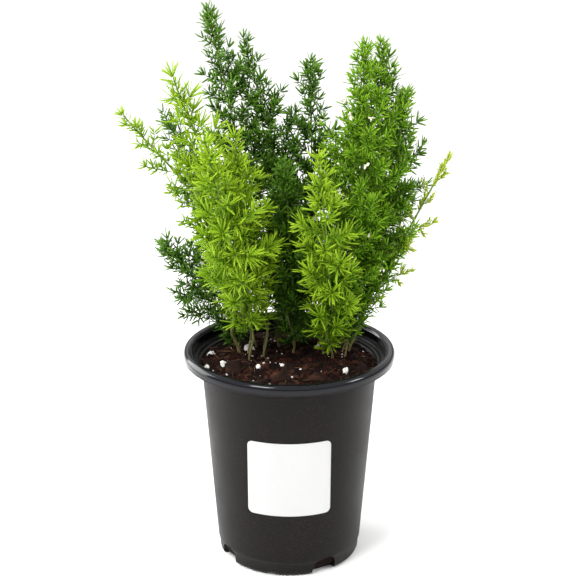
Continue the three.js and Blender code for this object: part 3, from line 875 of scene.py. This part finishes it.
def cane_mesh(line, radii, slim, rng):
    """A cane with nodes and spurs, as one mesh."""
    stations = np.arange(0, line.length, CANE_STEP)
    along = line.along(stations)
    # The bare part wanders a little between its nodes.
    share = np.clip(stations / BARE_RUN, 0, 1)
    wander = np.stack([np.sin(share * 9 + phase) for phase in rng.uniform(0, 6.28, 2)] + [0 * share], 1)
    centre = line.at(stations) + wander * (WANDER * np.sin(share * math.pi))[:, None]
    sideways = unit(np.cross(along, np.tile([0.2, 1.0, 0.1], (len(stations), 1))))
    upwards = np.cross(sideways, along)
    from_node = (stations + NODE_STEP / 2) % NODE_STEP - NODE_STEP / 2
    swell = 1 + 0.28 * np.exp(-(from_node / NODE_HALF) ** 2)
    radius = np.interp(stations / line.length, np.linspace(0, 1, len(radii)), radii) * slim * swell
    turns = np.arange(CANE_SIDES) * 2 * math.pi / CANE_SIDES
    ring = (sideways[:, None] * np.cos(turns)[None, :, None]
            + upwards[:, None] * np.sin(turns)[None, :, None])
    points = list((centre[:, None] + ring * radius[:, None, None]).reshape(-1, 3))
    last = (len(stations) - 1) * CANE_SIDES
    faces = []
    for a in range(0, last, CANE_SIDES):
        for j in range(CANE_SIDES):
            k = (j + 1) % CANE_SIDES
            faces.append((a + j, a + k, a + CANE_SIDES + k, a + CANE_SIDES + j))
    faces.append(tuple(range(CANE_SIDES))[::-1])
    faces.append(tuple(range(last, last + CANE_SIDES)))
    nodes = np.arange(NODE_STEP, min(line.length, SPUR_RUN), NODE_STEP)
    out = unit(rng.normal(0, 1, (len(nodes), 3)) * [1, 1, 0.1])
    spurs = spindles(line.at(nodes), out, np.full(len(nodes), SPUR_LENGTH), -UP * SPUR_DROP,
                     unit(rng.normal(0, 1, out.shape)), SPUR_HALF, 0.5 * MM)
    for shape in spurs:
        base = len(points)
        points += list(shape)
        faces += [tuple(base + i for i in f) for f in SPINDLE_FACES]
    return points, faces


for order, name in enumerate(HABITS):
    line, radii = shoots[name]
    slim = 1.0 if "young" in name else SLIM
    points, faces = cane_mesh(line, radii, slim, np.random.default_rng(CANE_SEED + order))
    make_piece("cane_" + name, points, faces, cane, ["stem_" + name])
print(len(HABITS), "canes")

# %% [markdown]
# ## The potting mix
# Composted pine bark: dark red-brown crumbs, flat chips, fine fibres and white perlite. The bed
# is a turned body whose top is pushed up and down by noise at three scales, and loose pieces are
# scattered on it.

# %% Mix material
def earth(name, dark, body, light, grain_mm, roughness):
    """Crumbly organic matter: three tones by noise of the grain's size, dry and matt."""
    material, tree, shader = new_material(name, Roughness=roughness, IOR=1.4, Specular_IOR_Level=0.2)
    place = add(tree, "TexCoord").outputs["Object"]
    scale = 1000 / grain_mm
    crumbs = add(tree, "TexNoise", {"Scale": scale, "Detail": 4.0, "Roughness": 0.65},
                 {"Vector": place})
    broad = add(tree, "TexNoise", {"Scale": scale / 6, "Detail": 2.0}, {"Vector": place})
    pick = add(tree, "MapRange", {"From Min": 0.35, "From Max": 0.68},
               {"Value": crumbs.outputs["Fac"]})
    ground = add(tree, "Mix", {"data_type": "RGBA", 6: dark, 7: body}, {0: pick.outputs["Result"]})
    fleck = add(tree, "MapRange", {"From Min": 0.5, "From Max": 0.72},
                {"Value": broad.outputs["Fac"]})
    colour = add(tree, "Mix", {"data_type": "RGBA", 7: light},
                 {0: fleck.outputs["Result"], 6: ground.outputs[2]})
    bump = add(tree, "Bump", {"Strength": 0.6, "Distance": 0.0006},
               {"Height": crumbs.outputs["Fac"]})
    wire(tree, shader, {"Base Color": colour.outputs[2], "Normal": bump.outputs["Normal"]})
    return material


mix_stuff = earth("composted_bark_mix", "#0a0504", "#1b0f0a", "#2f1b14", 2.0, 0.95)

# %% The bed
mix_low, mix_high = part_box("potting_mix")
MIX_RADIUS = mix_high.x - 0.1 * MM
MIX_TOP = mix_high.z
MIX_EDGE = MIX_TOP - 3.3 * MM


def mix_height(x, y):
    """Height of the bed's lumpy top."""
    share = min(1, math.hypot(x, y) / MIX_RADIUS)
    smooth = MIX_TOP + (MIX_EDGE - MIX_TOP) * share ** 2
    mounds = 2.0 * noise.noise(Vector((x * 90, y * 90, 1)))
    hollows = 1.3 * noise.noise(Vector((x * 260, y * 260, 5)))
    crumbs = 0.7 * noise.noise(Vector((x * 700, y * 700, 9)))
    return smooth + MM * (mounds + hollows + crumbs - 0.5)


RINGS = 110
SPOKES = 200
under = [(0, mix_low.z), (48 * MM, mix_low.z), (51.5 * MM, 5 * MM),
         (wall_at(LEDGE) - WALL - 0.6 * MM, LEDGE),
         (WALL_TOP[0] - WALL - 0.4 * MM, WALL_TOP[1] - 1 * MM)]
# The top's rings are laid at height 0 and then lifted point by point.
top = [(MIX_RADIUS * (1 - i / RINGS), 0) for i in range(RINGS)] + [(0, 0)]
points, faces = turned(under + top, SPOKES)
points = [p if p[2] > 0 else (p[0], p[1], mix_height(p[0], p[1])) for p in points]
make_piece("mix_bed", points, faces, mix_stuff, ["potting_mix"])
print("bed of", len(points), "points")

# %% [markdown]
# ### Scattering the loose pieces
# A chip or a grain is one coarse ball, squeezed, dented at random and turned, and lies at the
# height that the bed has there. Working on arrays of them keeps thousands cheap.


# %% Lumps
def ball(divisions):
    """Points and faces of a geodesic ball."""
    bm = bmesh.new()
    bmesh.ops.create_icosphere(bm, subdivisions=divisions, radius=1)
    points = np.array([v.co[:] for v in bm.verts])
    faces = np.array([[v.index for v in f.verts] for f in bm.faces])
    bm.free()
    return points, faces


def turns_of(rng, count, tilt):
    """Random rotations: any heading, and a tilt of about this many radians."""
    matrices = []
    for axis, angle in ((2, rng.uniform(0, 6.28, count)), (1, rng.normal(0, tilt, count)),
                        (0, rng.normal(0, tilt, count))):
        i, j = (axis + 1) % 3, (axis + 2) % 3
        matrix = np.tile(np.eye(3)[:, :, None], count)
        matrix[i, i] = matrix[j, j] = np.cos(angle)
        matrix[j, i] = np.sin(angle)
        matrix[i, j] = -matrix[j, i]
        matrices.append(matrix)
    return np.einsum("ijn,jkn,kln->nil", *matrices)


def lumps(name, places, halves, rng, divisions, dent, tilt, material, stands_for, square=1.0):
    """One piece made of many dented lumps; a square under 1 makes them blockier."""
    ball_points, ball_faces = ball(divisions)
    ball_points = np.sign(ball_points) * np.abs(ball_points) ** square
    count = len(places)
    shape = ball_points[None] * (1 + rng.uniform(-dent, dent, (count, len(ball_points), 1)))
    shape = np.einsum("nij,npj->npi", turns_of(rng, count, tilt), shape * halves[:, None])
    points = (shape + places[:, None]).reshape(-1, 3)
    faces = (ball_faces[None] + len(ball_points) * np.arange(count)[:, None, None]).reshape(-1, 3)
    piece = make_piece(name, points, faces, material, stands_for)
    places = np.stack([np.arctan2(ball_points[:, 1], ball_points[:, 0]) / 6.3 + 0.5,
                       ball_points[:, 2] / 2 + 0.5], 1)
    give_cells(piece.data, count, places[ball_faces.ravel()])
    return piece


def scatter(rng, count, lift):
    """Random places on the bed, lifted a little so that the pieces show."""
    radius = (MIX_RADIUS - 2 * MM) * np.sqrt(rng.uniform(0, 1, count))
    angle = rng.uniform(0, 6.28, count)
    x = radius * np.cos(angle)
    y = radius * np.sin(angle)
    z = np.array([mix_height(a, b) for a, b in zip(x, y)]) + lift
    return np.stack([x, y, z], 1)


# %% Bark, crumbs and perlite
bark_stuff = earth("pine_bark_chip", "#100806", "#2b1811", "#482d1f", 2.2, 0.85)
crumb_stuff = earth("bark_crumb", "#0b0504", "#26130d", "#50291d", 1.6, 0.9)
perlite_stuff, tree, shader = new_material("expanded_perlite", Roughness=0.85, IOR=1.5)
place = add(tree, "TexCoord").outputs["Object"]
# Blown glass full of pores of about 0.8 mm: white, and a little greyer between the pores, which
# is painted shade.
pores = add(tree, "TexVoronoi", {"Scale": 1300.0}, {"Vector": place})
pale = add(tree, "Mix", {"data_type": "RGBA", 6: "#fefefc", 7: "#e6e3dc"},
           {0: pores.outputs["Distance"]})
pits = add(tree, "Bump", {"Strength": 0.5, "Distance": 0.0004},
           {"Height": pores.outputs["Distance"]})
wire(tree, shader, {"Base Color": pale.outputs[2], "Normal": pits.outputs["Normal"]})

MIX_SEED = 7
rng = np.random.default_rng(MIX_SEED)


def cad_lumps(prefix):
    """Middles and half sizes of the CAD's own chips or grains of one kind."""
    names = sorted(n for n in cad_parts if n.startswith(prefix))
    boxes = [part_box(n) for n in names]
    middles = np.array([(lo + hi) / 2 for lo, hi in boxes])
    return names, middles, np.array([(hi - lo) / 2 for lo, hi in boxes])


bark_names, bark_at, bark_half = cad_lumps("bark_chip_")
perlite_names, perlite_at, perlite_half = cad_lumps("perlite_")
CHIPS = 170
CRUMBS = 9000
GRAINS = 60
chip_half = np.exp(rng.normal(math.log(2.2), 0.4, CHIPS))[:, None] * [1.35, 0.85, 0.32] * MM
lumps("bark_chips", np.vstack([bark_at, scatter(rng, CHIPS, 0.3 * MM)]),
      np.vstack([bark_half * [0.9, 0.9, 0.6], chip_half]), rng, 2, 0.14, 0.3,
      bark_stuff, bark_names, square=0.55)
crumb_half = np.exp(rng.normal(math.log(0.62), 0.4, CRUMBS))[:, None] * [1.2, 0.9, 0.7] * MM
lumps("bark_crumbs", scatter(rng, CRUMBS, 0.2 * MM), crumb_half, rng, 1, 0.25, 0.8,
      crumb_stuff, [])
grain_half = np.exp(rng.normal(math.log(0.62), 0.4, GRAINS))[:, None] * [1.1, 0.9, 0.85] * MM
grains = lumps("perlite_grains", np.vstack([perlite_at, scatter(rng, GRAINS, 0.5 * MM)]),
               np.vstack([perlite_half * 0.9, grain_half]), rng, 2, 0.3, 0.5, perlite_stuff,
               perlite_names)
grains.data.polygons.foreach_set("use_smooth", [False] * len(grains.data.polygons))
print(CHIPS, "chips,", CRUMBS, "crumbs and", GRAINS, "grains on the bed")

# %% Fibres
FIBRES = 150
FIBRE_HALF = 0.28 * MM
FIBRE_THICK = 0.22 * MM
foot = scatter(rng, FIBRES, 0.6 * MM)
aim = unit(rng.normal(0, 1, (FIBRES, 3)) * [1, 1, 0.18])
length = rng.uniform(5, 15, FIBRES) * MM
sag = rng.normal(0, 0.25, (FIBRES, 3)) * length[:, None] * [1, 1, 0.1]
side = unit(rng.normal(0, 1, foot.shape))
shapes = spindles(foot, aim, length, sag, side, FIBRE_HALF, FIBRE_THICK)
fibre_stuff = earth("root_fibre", "#3a241a", "#6b4a34", "#8a6a4c", 4.0, 0.8)
dress_piece("mix_fibres", spindle_mesh("mix_fibres", shapes, np.ones((FIBRES, 10, 4))),
            fibre_stuff, [])

# %% [markdown]
# ## What the mix hides
# The crown and its roots stay as the CAD made them, deep in the bed, in the materials they would
# show on a bench: a corky brown crown and pale, smooth storage roots.

# %% Crown and roots
cork = earth("corky_crown", "#5d4630", "#8a6a48", "#a88a62", 4.0, 0.85)
flesh = earth("storage_root_skin", "#b89a6c", "#cdb48a", "#e0cda6", 6.0, 0.6)
for node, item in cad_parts.items():
    if node == "root_crown" or node.startswith("fleshy_root_"):
        item.data.materials.clear()
        item.data.materials.append(cork if node == "root_crown" else flesh)
